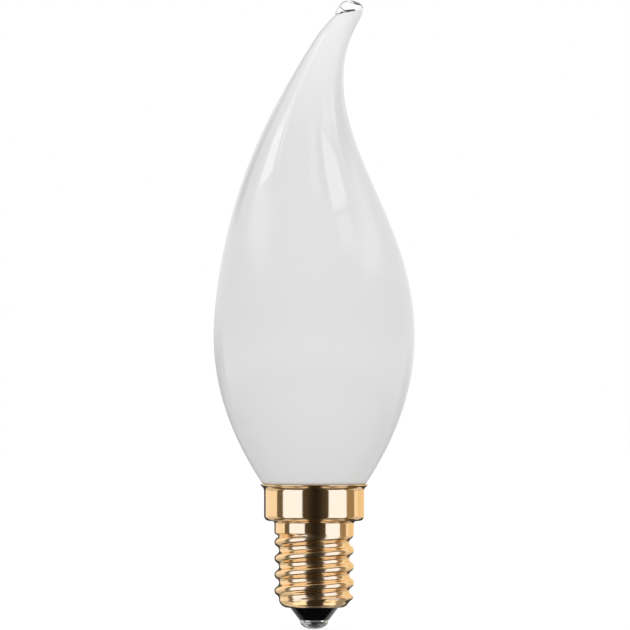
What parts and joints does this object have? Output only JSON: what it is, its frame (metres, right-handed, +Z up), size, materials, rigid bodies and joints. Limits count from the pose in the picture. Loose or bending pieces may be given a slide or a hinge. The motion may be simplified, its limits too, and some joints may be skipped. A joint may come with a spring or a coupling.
{
  "type": "candle bulb",
  "caption": "Frosted candle bulb with a flame-shaped glass that bends over at its tip, on a brass E14 screw cap with a black insulator and a domed centre contact.",
  "frame": {"origin": "lowest point of the centre contact, on the axis of the screw cap", "axes": "+Z up along the axis of the screw cap towards the tip; +X the way the flame tip bends over"},
  "size_m": [0.035, 0.035, 0.1094],
  "materials": {
    "frosted_glass": "frosted white inside, glossy outside",
    "brass": "polished",
    "black_glass": "gloss",
    "contact_metal": "satin",
    "cement": "matt"
  },
  "bodies": {
    "root": {"glass_bulb": "frosted_glass", "screw_shell": "brass", "insulator": "black_glass", "centre_contact": "contact_metal", "capping_cement": "cement"}
  },
  "joints": []
}
